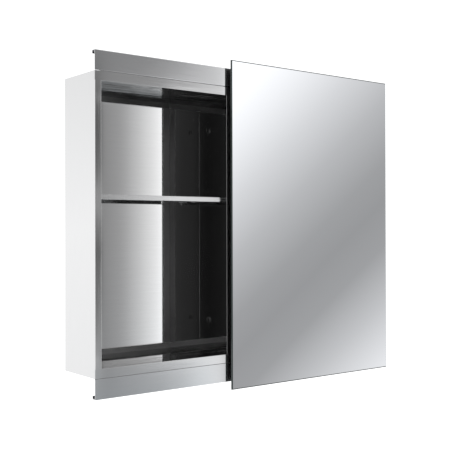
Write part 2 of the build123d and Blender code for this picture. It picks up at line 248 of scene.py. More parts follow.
# By heading: the softbox right of the middle, and the evener strip along its upper edge
SOFTBOX = (
    (26, 0.24), (28.6, 0.27), (29.15, 0.33), (29.4, 0.40), (29.8, 0.44), (30.2, 0.48),
    (30.6, 0.53), (31.0, 0.63), (31.4, 0.76), (31.8, 0.87), (32.2, 1.02), (32.6, 1.15),
    (33.0, 1.32), (33.4, 1.55), (34.2, 1.65), (36, 1.3), (38, 1.1), (90, 1.0),
)
EDGE_STRIP = (
    (26, 0.24), (29.1, 0.3), (29.4, 0.78), (32.4, 0.70), (33.3, 0.60), (33.8, 1.5),
    (34.2, 1.65), (36, 1.3), (38, 1.1), (90, 1.0),
)
SOFTBOX_START = (26.0, 26.2)
SOFTBOX_FOOT = (-8.7, -8.2)
STRIP_FOOT = (8.45, 8.65)
STRIP_TOP = (8.95, 9.35)

# By heading: the darker surround above and below the softbox, and how much brighter it is low down
SURROUND = (
    (26, 0.28), (29, 0.34), (30.2, 0.365), (32.6, 0.385), (34.6, 0.48), (35.9, 0.71),
    (37.4, 0.86), (90, 1.0),
)
LOW_GAIN = ((29, 1.14), (30.2, 1.32), (32.6, 1.5), (90, 1.4))
LOW_GAIN_HEIGHTS = (-8.0, 2.0)

# By height: panels over the narrow column at the softbox's left end
PANELS = (
    (-90, 1.4), (-12, 1.4), (-9.5, 1.45), (-8.05, 1.65), (-6.5, 1.2), (-4.7, 0.84), (-3, 0.64),
    (-1.4, 0.52), (0.5, 1.0), (1.3, 1.4), (2.6, 1.45), (3.4, 0.95), (4.7, 0.58), (6.7, 0.42),
    (9.0, 0.6), (10.3, 0.76), (12, 0.95), (90, 1.2),
)
PANELS_END = (29.12, 29.4)

# The grey fold on the right, in degrees of height from a slanting line through one heading and height
FOLD = (
    (-14, 1.3), (-9.4, 0.97), (-5.8, 0.68), (-2, 0.43), (1, 0.39), (3.6, 0.43), (7.7, 0.6),
    (11.7, 0.84), (15.8, 1.13), (20, 1.4), (26, 1.45),
)
FOLD_START = (37.5, 38.05)
FOLD_THROUGH = (48.3, 0.8)
FOLD_SLOPE = 1.04

# By height: the least light there is in front, the white sweep behind, and a factor over both
BEYOND = (
    (-90, 1.2), (-40, 1.2), (-20, 0.8), (-14, 0), (14, 0), (22, 0.9), (45, 1.25), (90, 1.2)
)
SWEEP = ((-90, 1.25), (-10, 1.35), (0, 1.42), (6, 1.33), (12, 1.22), (90, 1.3))
FADE = ((-90, 0.6), (-30, 0.65), (-17, 1.0), (17, 1.0), (32, 0.8), (90, 0.7))
SWEEP_DEPTHS = (-0.1, 0.12)  # in the direction's Y part

# Red and green of the light, beside a blue of 1: nearly white, and by height a cooler softbox
PLAIN_RED = 0.99
PLAIN_GREEN = 0.993
COOL_RED = ((-90, 0.97), (-16, 0.92), (-10.8, 0.92), (-8.8, 0.97), (0, 0.99))
COOL_GREEN = ((-90, 0.98), (-16, 0.968), (-10.8, 0.968), (-8.8, 0.985), (0, 0.993))
COOL_END = (36.5, 37.5)


def shape_softbox(tree, heading, height):
    """Right of the middle: the softbox with its edge strip, its surround, and the panels at its left."""
    in_strip = smooth_step(tree, height, *STRIP_FOOT)
    softbox = profile(tree, heading, SOFTBOX)
    softbox = blend_values(tree, in_strip, softbox, profile(tree, heading, EDGE_STRIP))
    high_part = smooth_step(tree, height, *LOW_GAIN_HEIGHTS)
    gain = blend_values(tree, high_part, profile(tree, heading, LOW_GAIN), 1.0)
    surround = math_node(tree, "MULTIPLY", profile(tree, heading, SURROUND), gain)
    over_foot = smooth_step(tree, height, *SOFTBOX_FOOT)
    under_top = invert(tree, smooth_step(tree, height, *STRIP_TOP))
    in_belt = math_node(tree, "MULTIPLY", over_foot, under_top)
    whole = blend_values(tree, in_belt, surround, softbox)
    past_panels = smooth_step(tree, heading, *PANELS_END)
    panels = blend_values(tree, past_panels, profile(tree, height, PANELS), 1.0)
    return math_node(tree, "MULTIPLY", whole, panels)


def shape_fold(tree, heading, height):
    """On the right: a grey fold, dark along a line that slants up to the right."""
    at_heading, at_height = FOLD_THROUGH
    slant = math_node(tree, "MULTIPLY", math_node(tree, "SUBTRACT", heading, at_heading), FOLD_SLOPE)
    across = math_node(tree, "SUBTRACT", math_node(tree, "SUBTRACT", height, at_height), slant)
    return profile(tree, across, FOLD)


def shape_tint(tree, heading, height):
    """The light's colour: nearly white, and cooler where the softbox is and low down."""
    from_left = smooth_step(tree, heading, *SOFTBOX_START)
    cool = math_node(tree, "MULTIPLY", from_left, invert(tree, smooth_step(tree, heading, *COOL_END)))
    return new_node(
        tree,
        "ShaderNodeCombineColor",
        Red=blend_values(tree, cool, PLAIN_RED, profile(tree, height, COOL_RED)),
        Green=blend_values(tree, cool, PLAIN_GREEN, profile(tree, height, COOL_GREEN)),
        Blue=1.0,
    ).outputs[0]


def make_world():
    """A white sweep behind the object, and a soft graded studio in front of it.

    In front, from the left: a dark gap where the camera stands, a broad soft light, a softbox with a
    strip along its upper edge, and a slanting grey fold. The whole fades a little towards the zenith
    and the ground.
    """
    world = bpy.data.worlds.new("studio")
    bpy.context.scene.world = world
    world.use_nodes = True
    tree = world.node_tree
    tree.nodes.clear()
    direction = new_node(tree, "ShaderNodeTexCoord").outputs["Generated"]
    x, y, z = new_node(tree, "ShaderNodeSeparateXYZ", Vector=direction).outputs
    forward = math_node(tree, "MULTIPLY", y, -1.0)
    heading = math_node(
        tree, "MULTIPLY", math_node(tree, "ARCTAN2", x, forward), math.degrees(1)
    )
    height = math_node(tree, "MULTIPLY", math_node(tree, "ARCSINE", z), math.degrees(1))

    camera_side = profile(tree, heading, CAMERA_SIDE)
    softbox = shape_softbox(tree, heading, height)
    fold = shape_fold(tree, heading, height)
    front = blend_values(tree, smooth_step(tree, heading, *SOFTBOX_START), camera_side, softbox)
    front = blend_values(tree, smooth_step(tree, heading, *FOLD_START), front, fold)
    front = math_node(tree, "MAXIMUM", front, profile(tree, height, BEYOND))
    sweep = profile(tree, height, SWEEP)
    level = blend_values(tree, smooth_step(tree, y, *SWEEP_DEPTHS), front, sweep)
    level = math_node(tree, "MULTIPLY", level, profile(tree, height, FADE))
    tint = shape_tint(tree, heading, height)
    background = new_node(tree, "ShaderNodeBackground", Color=tint, Strength=level)
    new_node(tree, "ShaderNodeOutputWorld", Surface=background.outputs[0])


def make_floor():
    """A pale round floor, at the height under a cabinet hung on a wall."""
    low, high = CAD_BOX
    mesh = bpy.data.meshes.new("floor")
    shape = bmesh.new()
    bmesh.ops.create_circle(shape, cap_ends=True, segments=FLOOR_SIDES, radius=FLOOR_RADIUS)
    shape.to_mesh(mesh)
    shape.free()
    floor = bpy.data.objects.new("floor", mesh)
    bpy.context.scene.collection.objects.link(floor)
    floor.location = ((low.x + high.x) / 2, 0, low.z - FLOOR_BELOW)
    material, tree, shader = start_material("pale_floor")
    shader.inputs["Roughness"].default_value = 0.7
    noise = new_node(tree, "ShaderNodeTexNoise", Scale=3.0, Detail=4.0)
    ramp = new_node(tree, "ShaderNodeValToRGB", Fac=noise.outputs["Fac"])
    for element, grey in zip(ramp.color_ramp.elements, FLOOR_GREYS):
        element.color = (grey, grey, grey, 1)
    tree.links.new(ramp.outputs[0], shader.inputs["Base Color"])
    mesh.materials.append(material)


def make_overhead():
    """A square softbox over the object, aimed at its middle and left out of reflections."""
    data = bpy.data.lights.new("overhead", "AREA")
    data.size = OVERHEAD_SIZE
    data.energy = OVERHEAD_WATTS
    lamp = bpy.data.objects.new("overhead", data)
    bpy.context.scene.collection.objects.link(lamp)
    lamp.location = OVERHEAD_AT
    lamp.visible_glossy = False
    lamp.rotation_euler = (-Vector(OVERHEAD_AT)).to_track_quat("-Z", "Y").to_euler()


def make_camera():
    """The scene's camera."""
    data = bpy.data.cameras.new("camera")
    data.lens = LENS
    data.sensor_width = SENSOR
    camera = bpy.data.objects.new("camera", data)
    bpy.context.scene.collection.objects.link(camera)
    camera.location = CAMERA_AT
    camera.rotation_euler = (
        math.radians(90 + CAMERA_PITCH), math.radians(CAMERA_ROLL), math.radians(CAMERA_YAW)
    )
    bpy.context.scene.camera = camera


# ---------------------------------------------------------------- materials

# Texture scales, as (across the grain, along it) or one number
SCRATCH_SCALES = (1400.0, 14.0)
WAVE_SCALES = (60.0, 6.0)
STEEL_CLOUDS = 9.0
MIRROR_CLOUDS = 3.0
PLASTIC_SPECKLE = 400.0

NOISE_RANGE = (0.25, 0.75)  # where nearly all of a noise texture's values lie
SCRATCH_BUMP = 0.25  # strength
SCRATCH_TONE = 0.95  # the darkest scratch, as a share of the colour
SCRATCH_SPREAD = 0.18  # either way, as a share of the roughness
CLOUD_SPREAD = (0.9, 1.12)  # as shares of the roughness
PLASTIC_TONE = 0.85
PLASTIC_SPREAD = (0.85, 1.15)
PLASTIC_BUMP_DEPTH = 0.05 * MM
SILVER_TONES = ((0.800, 0.812, 0.835, 1), (0.812, 0.822, 0.842, 1))
SILVER_ROUGHNESS = 0.012
REVERSE_NORMALS = (0.4, 0.8)  # the normal's Y part where the polished side gives way to the reverse

# Grain axis, colour, roughness, anisotropy, depths of scratches and waves in millimetres, and for a
# sheet with an unpolished side that side's roughness and grey
STEELS = {
    "body_steel": ("X", (0.62, 0.62, 0.622), 0.07, 0.6, 0.005, 0.04, (0.42, 0.65)),
    # The bottom panel's copy has a grey of 1.0 on its back: painted light on the back of the bottom
    # flange
    "bottom_steel_painted_light": ("X", (0.62, 0.62, 0.622), 0.07, 0.6, 0.005, 0.04, (0.62, 1.0)),
    "inner_steel": ("X", (0.63, 0.63, 0.63), 0.032, 0.3, 0.002, 0.02, (0.45, 0.52)),
    # The top liner's grey, about half the others', is painted shade on the compartments' ceilings
    "top_liner_steel": ("X", (0.32, 0.32, 0.32), 0.04, 0.6, 0.005, 1.6),
    "bottom_liner_steel": ("X", (0.62, 0.62, 0.62), 0.035, 0.6, 0.005, 0.2),
    "divider_steel": ("Z", (0.63, 0.63, 0.63), 0.04, 0.3, 0.002, 0.02, (0.42, 0.62)),
    "side_steel": ("Z", (0.62, 0.62, 0.62), 0.045, 0.4, 0.004, 0.03, (0.42, 0.62)),
    "rail_steel": ("X", (0.62, 0.622, 0.628), 0.09, 0.6, 0.006, 0.02),
    "shelf_steel": ("X", (0.59, 0.59, 0.592), 0.19, 0.5, 0.008, 0.03),
    "fastener_steel": ("Z", (0.55, 0.55, 0.56), 0.25, 0.0, 0.01, 0.01),
}

# Colour, roughness, and the texture's scale where it isn't PLASTIC_SPECKLE
PLASTICS = {
    "glass_edge": ((0.020, 0.030, 0.028), 0.12, 60.0),
    "plug": ((0.008, 0.008, 0.008), 0.03),
    "backing": ((0.060, 0.060, 0.061), 0.45),
    "tape": ((0.05, 0.05, 0.05), 0.8),
    "carrier": ((0.05, 0.05, 0.051), 0.4),
    "nylon": ((0.80, 0.79, 0.75), 0.4),
    "rubber": ((0.035, 0.035, 0.035), 0.75),
}


def start_material(name):
    """A new material, with its node tree and its shader."""
    material = bpy.data.materials.new(name)
    material.use_nodes = True
    return material, material.node_tree, material.node_tree.nodes["Principled BSDF"]


def grain_field(tree, grain, across, along):
    """Noise drawn out along the grain, an axis name, with its scales across and along it."""
    coords = new_node(tree, "ShaderNodeTexCoord").outputs["Object"]
    scale = [along if axis == grain else across for axis in "XYZ"]
    mapping = new_node(tree, "ShaderNodeMapping", Vector=coords, Scale=scale)
    return new_node(
        tree, "ShaderNodeTexNoise", Vector=mapping.outputs[0], Scale=1.0, Detail=3.0, Roughness=0.6
    ).outputs["Fac"]


def cloud_field(tree, scale):
    """Even noise."""
    coords = new_node(tree, "ShaderNodeTexCoord").outputs["Object"]
    return new_node(
        tree, "ShaderNodeTexNoise", Vector=coords, Scale=scale, Detail=4.0, Roughness=0.55
    ).outputs["Fac"]


def spread_noise(tree, noise, low, high):
    """Stretches a noise so that nearly all of it runs from low to high."""
    start, end = NOISE_RANGE
    return new_node(
        tree, "ShaderNodeMapRange", Value=noise, From_Min=start, From_Max=end, To_Min=low, To_Max=high
    ).outputs[0]


def shade(colour, tone=1.0):
    """A colour with alpha, darkened to a share of itself."""
    return (*(part * tone for part in colour), 1)


def steel(name, grain, colour, roughness, stretch, scratch_depth, wave_depth, reverse=None):
    """Stainless steel: fine scratches along the grain, handling marks and slight waves in the sheet.

    reverse is the roughness and the grey of the sheet's unpolished side, where it faces the wall. A grey
    far lighter than the colour, as on the bottom panel, is painted light.
    """
    material, tree, shader = start_material(name)
    scratches = grain_field(tree, grain, *SCRATCH_SCALES)
    clouds = cloud_field(tree, STEEL_CLOUDS)
    tint = blend_colours(
        tree, spread_noise(tree, scratches, 0.0, 1.0), shade(colour, SCRATCH_TONE), shade(colour)
    )
    spread = math_node(
        tree,
        "ADD",
        spread_noise(tree, scratches, -SCRATCH_SPREAD * roughness, SCRATCH_SPREAD * roughness),
        spread_noise(tree, clouds, *(share * roughness for share in CLOUD_SPREAD)),
    )
    if reverse:
        reverse_roughness, grey = reverse
        normal = new_node(tree, "ShaderNodeTexCoord").outputs["Normal"]
        facing = new_node(tree, "ShaderNodeSeparateXYZ", Vector=normal).outputs["Y"]
        behind = smooth_step(tree, facing, *REVERSE_NORMALS)
        spread = blend_values(tree, behind, spread, reverse_roughness)
        tint = blend_colours(tree, behind, tint, (grey, grey, grey, 1))
    waves = grain_field(tree, grain, *WAVE_SCALES)
    wave = new_node(
        tree, "ShaderNodeBump", Strength=1.0, Distance=wave_depth * MM, Height=waves
    )
    bump = new_node(
        tree,
        "ShaderNodeBump",
        Strength=SCRATCH_BUMP,
        Distance=scratch_depth * MM,
        Height=scratches,
        Normal=wave.outputs[0],
    )
    shader.inputs["Metallic"].default_value = 1.0
    shader.inputs["Anisotropic"].default_value = stretch
    shader.inputs["Anisotropic Rotation"].default_value = 0.25 if grain == "X" else 0.0
    tree.links.new(tint, shader.inputs["Base Color"])
    tree.links.new(spread, shader.inputs["Roughness"])
    tree.links.new(bump.outputs[0], shader.inputs["Normal"])
    return material


def plastic(name, colour, roughness, speckle=PLASTIC_SPECKLE):
    """Moulded plastic, rubber or powder coat: a fine matt texture over one colour."""
    material, tree, shader = start_material(name)
    fine = cloud_field(tree, speckle)
    tint = blend_colours(tree, fine, shade(colour, PLASTIC_TONE), shade(colour))
    spread = spread_noise(tree, fine, *(share * roughness for share in PLASTIC_SPREAD))
    bump = new_node(tree, "ShaderNodeBump", Strength=0.3, Distance=PLASTIC_BUMP_DEPTH, Height=fine)
    tree.links.new(tint, shader.inputs["Base Color"])
    tree.links.new(spread, shader.inputs["Roughness"])
    tree.links.new(bump.outputs[0], shader.inputs["Normal"])
    return material


def silvering():
    """The mirror's face: clean silver behind glass, very slightly cool."""
    material, tree, shader = start_material("mirror_silver")
    clouds = cloud_field(tree, MIRROR_CLOUDS)
    shader.inputs["Metallic"].default_value = 1.0
    tree.links.new(blend_colours(tree, clouds, *SILVER_TONES), shader.inputs["Base Color"])
    tree.links.new(spread_noise(tree, clouds, 0.0, SILVER_ROUGHNESS), shader.inputs["Roughness"])
    return material


MATERIALS = {name: steel(name, *values) for name, values in STEELS.items()}
MATERIALS["mirror"] = silvering()
MATERIALS.update({name: plastic(name, *values) for name, values in PLASTICS.items()})

NODE_MATERIALS = {
    "back_panel": "inner_steel",
    "axle_clips": "fastener_steel",
    "guide_screws": "fastener_steel",
}


def dress_nodes():
    """Gives every carried-over CAD node its material."""
    for node, material in NODE_MATERIALS.items():
        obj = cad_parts[node]
        obj.data.materials.clear()
        obj.data.materials.append(MATERIALS[material])


# ---------------------------------------------------------------- mesh helpers

def rounded_loop(corners, steps=5):
    """A closed outline through (u, v, radius) corners, each rounded by its radius."""
    points = []
    for before, corner, after in zip(corners[-1:] + corners[:-1], corners, corners[1:] + corners[:1]):
        at, radius = Vector(corner[:2]), corner[2]
        if not radius:
            points.append(at)
            continue
        to_before = (Vector(before[:2]) - at).normalized()
        to_after = (Vector(after[:2]) - at).normalized()
        half = to_before.angle(to_after) / 2
        centre = at + (to_before + to_after).normalized() * radius / math.sin(half)
        first = at + to_before * radius / math.tan(half) - centre
        last = at + to_after * radius / math.tan(half) - centre
        turn = math.pi - 2 * half
        for i in range(steps + 1):
            share = i / steps
            spoke = first * math.sin((1 - share) * turn) + last * math.sin(share * turn)
            points.append(centre + spoke / math.sin(turn))
    return points


def folded_loop(path, outer=OUTER_BEND, ends=(CUT_EDGE, CUT_EDGE)):
    """Outline of sheet steel folded along a mid-line; ends are the roundings of its two cut edges."""
    points = [Vector(point) for point in path]
    one_side, other_side = [], []
    for i, at in enumerate(points):
        ahead = (points[min(i + 1, len(points) - 1)] - points[min(i, len(points) - 2)]).normalized()
        behind = (points[max(i, 1)] - points[max(i - 1, 0)]).normalized()
        normals = [Vector((-step.y, step.x)) for step in (behind, ahead)]
        mitre = (normals[0] + normals[1]) / (1 + normals[0].dot(normals[1])) * SHEET / 2
        turn = behind.cross(ahead)
        radii = (INNER_BEND, outer) if turn > 0 else (outer, INNER_BEND)
        if i in (0, len(points) - 1):
            radii = (ends[0], ends[0]) if i == 0 else (ends[1], ends[1])
        one_side.append((*(at + mitre), radii[0]))
        other_side.append((*(at - mitre), radii[1]))
    return rounded_loop(one_side + other_side[::-1])


def rectangle(low_u, low_v, high_u, high_v, radius=0.0):
    """Outline of a rectangle with rounded corners."""
    corners = ((low_u, low_v), (high_u, low_v), (high_u, high_v), (low_u, high_v))
    return rounded_loop([(u, v, radius) for u, v in corners])


def sweep(shape, loop, axis, start, end, material=0):
    """Adds a closed outline drawn out along an axis; u and v are the other two axes in order."""
    place = {
        "X": lambda u, v, w: (w, u, v), "Y": lambda u, v, w: (u, w, v), "Z": lambda u, v, w: (u, v, w)
    }[axis]
    near, far = ([shape.verts.new(place(u, v, w)) for u, v in loop] for w in (start, end))
    faces = [shape.faces.new(near), shape.faces.new(far)]
    for i in range(len(loop)):
        j = (i + 1) % len(loop)
        faces.append(shape.faces.new((near[i], near[j], far[j], far[i])))
    for face in faces:
        face.material_index = material


def lathe(shape, rings, centre, axis, segments=40, hollow=False):
    """Adds (along, radius) rings turned round an axis; hollow joins the last ring to the first."""
    turned = []
    for along, radius in rings:
        ring = []
        for i in range(segments):
            angle = math.tau * i / segments
            across, up = radius * math.cos(angle), radius * math.sin(angle)
            offset = {"X": (along, across, up), "Y": (across, along, up), "Z": (across, up, along)}[axis]
            ring.append(shape.verts.new(Vector(centre) + Vector(offset)))
        turned.append(ring)
    pairs = list(zip(turned, turned[1:]))
    if hollow:
        pairs.append((turned[-1], turned[0]))
    else:
        shape.faces.new(turned[0])
        shape.faces.new(turned[-1])
    for near, far in pairs:
        for i in range(segments):
            j = (i + 1) % segments
            shape.faces.new((near[i], near[j], far[j], far[i]))


def add_piece(name, shape, body, slot_name, materials, *stands_for, smooth=False, soften=0.0):
    """Makes a piece of the shape: it rides on a body and stands for CAD nodes.

    smooth shades across all but sharp edges, and soften bevels the sharp ones.
    """
    bmesh.ops.recalc_face_normals(shape, faces=shape.faces)
    mesh = bpy.data.meshes.new(name)
    shape.to_mesh(mesh)
    shape.free()
    for material in materials:
        mesh.materials.append(MATERIALS[material])
    if smooth:
        mesh.shade_smooth()
        mesh.set_sharp_from_angle(angle=math.radians(SHARP_ANGLE))
    piece = bpy.data.objects.new(name, mesh)
    bpy.context.scene.collection.objects.link(piece)
    if soften:
        bevel = piece.modifiers.new("soft_edges", "BEVEL")
        bevel.width = soften
        bevel.segments = 2
        bevel.limit_method = "ANGLE"
        bevel.angle_limit = math.radians(BEVEL_ANGLE)
    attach(piece, body)
    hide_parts(*stands_for)


def spread_out(low, high, count):
    """count places, evenly spaced from low to high."""
    return [low + (high - low) * i / (count - 1) for i in range(count)]


# ---------------------------------------------------------------- cabinet pieces

def make_rail(node, up):
    """A foot over the body, a front plate, and a hooked lip at the far edge.

    The foot is cut back at both ends, and the front plate runs on to the corners. Under the foot lies a
    dark strip, painted shade in the crease, and under the bottom rail's front plate it runs on too. The
    dark strip is the second material.
    """
    low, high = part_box(node)
    near, far = (low.z, high.z) if up > 0 else (high.z, low.z)
    shape = bmesh.new()
    shade_strip_front = low.y + SHADE_STRIP_FRONTS[node]
    shade_strip_low, shade_strip_high = sorted((near, near + up * RAIL_GAP))
    foot_start, foot_end = low.x + FOOT_CUT, high.x - FOOT_CUT
    # A dark strip in the gap under the foot: painted shade in the crease between rail and body
    shade_strip = rectangle(shade_strip_front, shade_strip_low, high.y, shade_strip_high)
    sweep(shape, shade_strip, "X", foot_start, foot_end, material=1)
    near += up * RAIL_GAP
    plate = (
        (low.y + SHEET / 2, far - up * SHEET / 2),
        (low.y + RAIL_LIP_DEPTH - SHEET / 2, far - up * SHEET / 2),
        (low.y + RAIL_LIP_DEPTH - SHEET / 2, far - up * RAIL_LIP_RETURN),
    )
    foot = ((high.y, near + up * SHEET / 2), (low.y + SHEET / 2, near + up * SHEET / 2))
    sweep(shape, folded_loop(foot + plate, RAIL_BENDS[node]), "X", foot_start, foot_end)
    plate = ((low.y + SHEET / 2, near),) + plate
    for start, end in ((low.x, foot_start), (foot_end, high.x)):
        # On the bottom rail the dark strip of painted shade runs on under the front plate
        if up < 0:
            shade_bead = rectangle(shade_strip_front, shade_strip_low, low.y + 2 * SHEET, shade_strip_high)
            sweep(shape, shade_bead, "X", start, end, material=1)
        sweep(shape, folded_loop(plate, RAIL_BENDS[node]), "X", start, end)
    add_piece(f"{node}_channel", shape, "cabinet", "rail_steel", ["rail_steel", "tape"], node)


def make_panel(node, up):
    """Top or bottom of the body: the front flange turns back at its edge, between the side panels.

    In front of the side panels' thickness the flange is plain.
    """
    low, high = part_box(node)
    outside, edge = (high.z, low.z) if up > 0 else (low.z, high.z)
    shape = bmesh.new()
    path = (
        (high.y, outside - up * SHEET / 2),
        (low.y + SHEET / 2, outside - up * SHEET / 2),
        (low.y + SHEET / 2, edge + up * SHEET / 2),
        (low.y + FLANGE_RETURN, edge + up * SHEET / 2),
    )
    sweep(shape, folded_loop(path), "X", low.x + SHEET, high.x - SHEET)
    path = (*path[:2], (low.y + SHEET / 2, edge))
    for start, end in ((low.x, low.x + SHEET), (high.x - SHEET, high.x)):
        sweep(shape, folded_loop(path), "X", start, end)
    # The bottom panel's steel paints light on the back of its flange
    material = "body_steel" if up > 0 else "bottom_steel_painted_light"
    add_piece(f"{node}_sheet", shape, "cabinet", "body_steel", [material], node)


def make_upright(node, out, has_return):
    """A side panel or the divider: a web with a front flange; out is +1 where the web is on the right.

    The flange fills the opening's height, and the web runs on above and below it. has_return turns
    the flange's edge back.
    """
    low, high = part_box(node)
    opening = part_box("top_panel")[0].z
    web, edge = (high.x, low.x) if out > 0 else (low.x, high.x)
    web -= out * SHEET / 2
    path = [(web, high.y), (web, low.y + SHEET / 2), (edge, low.y + SHEET / 2)]
    if has_return:
        path[-1] = (edge + out * SHEET / 2, low.y + SHEET / 2)
        path.append((edge + out * SHEET / 2, low.y + FLANGE_RETURN))
    shape = bmesh.new()
    sweep(shape, folded_loop(path, STILE_BEND), "Z", -opening - OUTER_BEND, opening + OUTER_BEND)
    behind = low.y + SHEET + CUT_EDGE
    for start, end in ((opening + OUTER_BEND, high.z), (low.z, -opening - OUTER_BEND)):
        sweep(shape, rectangle(web - SHEET / 2, behind, web + SHEET / 2, high.y), "Z", start, end)
    material = "side_steel" if has_return else "divider_steel"
    add_piece(f"{node}_sheet", shape, "cabinet", "body_steel", [material], node)


def make_liner(node, up):
    """A shallow tray in each compartment, over the rail's stud welds."""
    low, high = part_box(node)
    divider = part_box("divider_panel")[1].x - SHEET / 2
    web, face = (high.z, low.z) if up > 0 else (low.z, high.z)
    shape = bmesh.new()
    path = (
        (high.y - SHEET / 2, web),
        (high.y - SHEET / 2, face + up * SHEET / 2),
        (low.y + SHEET / 2, face + up * SHEET / 2),
        (low.y + SHEET / 2, web),
    )
    gap = SHEET / 2 + LINER_PLAY
    for start, end in ((low.x, divider - gap), (divider + gap, high.x)):
        sweep(shape, folded_loop(path), "X", start, end)
    # The top trays take a darker steel: painted shade on the ceilings
    add_piece(f"{node}_trays", shape, "cabinet", "body_steel", [f"{node}_steel"], node)


def make_shelf(node, mouth_start, mouth_end):
    """A plate with notched front corners, and a lip turned down and hemmed back between them."""
    low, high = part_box(node)
    start, end = mouth_start + SHELF_LIP_LEFT_GAP, mouth_end - SHELF_LIP_RIGHT_GAP
    seam, notch = low.y + SHELF_LIP_SEAM, low.y + SHELF_NOTCH
    shape = bmesh.new()
    outline = (
        (low.x, high.y, SHELF_CORNER),
        (high.x, high.y, SHELF_CORNER),
        (high.x, notch, SHELF_CORNER),
        (end, notch, SHELF_CORNER),
        (end, seam, 0.0),
        (start, seam, 0.0),
        (start, notch, SHELF_CORNER),
        (low.x, notch, SHELF_CORNER),
    )
    sweep(shape, rounded_loop(outline), "Z", high.z - SHEET, high.z)
    path = (
        (seam, high.z - SHEET / 2),
        (low.y + SHEET / 2, high.z - SHEET / 2),
        (low.y + SHEET / 2, low.z + SHEET / 2),
        (low.y + SHELF_HEM, low.z + SHEET / 2),
    )
    sweep(shape, folded_loop(path, ends=(0.0, CUT_EDGE)), "X", start, end)
    add_piece(f"{node}_plate", shape, "cabinet", "shelf_steel", ["shelf_steel"], node)


def make_pegs(node):
    """Turned pegs with a groove and a rounded end, two on each wall."""
    low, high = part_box(node)
    radius = (high.z - low.z) / 2
    shape = bmesh.new()
    for x, inward in ((low.x, 1), (high.x, -1)):
        for y in (low.y + radius, high.y - radius):
            rings = [(inward * along * MM, share * radius) for along, share in PEG_SHAPE]
            lathe(shape, rings, (x, y, low.z + radius), "X")
    materials = ["fastener_steel"]
    add_piece(f"{node}_turned", shape, "cabinet", "fastener_steel", materials, node, smooth=True)


def make_plugs():
    """Low caps on the divider: a rounded rim round a slightly dished face."""
    low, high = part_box("divider_plugs")
    radius = (high.y - low.y) / 2
    rise = high.x - low.x
    shape = bmesh.new()
    rings = [(-rise * along, radius * share) for along, share in CAP_SHAPE]
    for z in (low.z + radius, high.z - radius):
        lathe(shape, rings, (high.x, low.y + radius, z), "X")
    add_piece("divider_caps", shape, "cabinet", "cap_plastic", ["plug"], "divider_plugs", smooth=True)


def make_studs(node, up):
    """Threaded studs that stand up from the body through the rail's foot."""
    low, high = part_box(node)
    radius = (high.y - low.y) / 2
    foot, tip = (low.z, high.z) if up > 0 else (high.z, low.z)
    length = abs(tip - foot)
    turns = round(length / THREAD_PITCH) - 1
    outline = [(0.0, 1.0)]
    for i in range(turns):
        outline += [((i + 0.5) * THREAD_PITCH, 1.0), ((i + 1.0) * THREAD_PITCH, THREAD_ROOT)]
    outline += [(length - short, share) for short, share in STUD_TIP]
    rings = [(up * along, radius * share) for along, share in outline]
    shape = bmesh.new()
    for x in spread_out(low.x + radius, high.x - radius, STUD_COUNT):
        lathe(shape, rings, (x, low.y + radius, foot), "Z", segments=24)
    add_piece(f"{node}_threaded", shape, "cabinet", "fastener_steel", ["fastener_steel"], node)


def make_nuts(node, up):
    """Hexagon nuts with turned-down corners, each on a washer."""
    low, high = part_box(node)
    rim = (high.y - low.y) / 2
    foot = low.z if up > 0 else high.z
    height = high.z - low.z
    washer = (
        (0.0, rim), (WASHER * 0.8, rim), (WASHER, rim * 0.95), (WASHER, STUD_RADIUS), (0.0, STUD_RADIUS)
    )
    nut = (
        (WASHER, NUT_CORNER * 0.93),
        (WASHER + NUT_CHAMFER, NUT_CORNER),
        (height - NUT_CHAMFER, NUT_CORNER),
        (height, NUT_CORNER * 0.9),
        (height, STUD_RADIUS * 1.12),
        (height - NUT_CHAMFER, STUD_RADIUS),
        (WASHER, STUD_RADIUS),
    )
    shape = bmesh.new()
    for x in spread_out(low.x + rim, high.x - rim, STUD_COUNT):
        for outline, segments in ((washer, 36), (nut, 6)):
            rings = [(up * along, radius) for along, radius in outline]
            lathe(shape, rings, (x, low.y + rim, foot), "Z", segments=segments, hollow=True)
    materials = ["fastener_steel"]
    add_piece(f"{node}_hexagon", shape, "cabinet", "fastener_steel", materials, node, soften=NUT_SOFTEN)


def make_stops(node):
    """Moulded blocks behind the ends of a lip, grooved across the back."""
    low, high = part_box(node)
    shape = bmesh.new()
    for start, end in ((low.x, low.x + STOP_LENGTH), (high.x - STOP_LENGTH, high.x)):
        outline = [(start, low.y, STOP_ROUND), (start, high.y, MM)]
        for x in spread_out(start + GROOVE_INSET, end - GROOVE_INSET, GROOVE_COUNT):
            outline += [
                (x - GROOVE_MOUTH, high.y, GROOVE_ROUND),
                (x - GROOVE_FLOOR, high.y - GROOVE_DEPTH, GROOVE_ROUND),
                (x + GROOVE_FLOOR, high.y - GROOVE_DEPTH, GROOVE_ROUND),
                (x + GROOVE_MOUTH, high.y, GROOVE_ROUND),
            ]
        outline += [(end, high.y, MM), (end, low.y, STOP_ROUND)]
        sweep(shape, rounded_loop(outline, steps=3), "Z", low.z, high.z)
    add_piece(f"{node}_moulded", shape, "cabinet", "stop_rubber", ["rubber"], node)


# ---------------------------------------------------------------- mirror door pieces

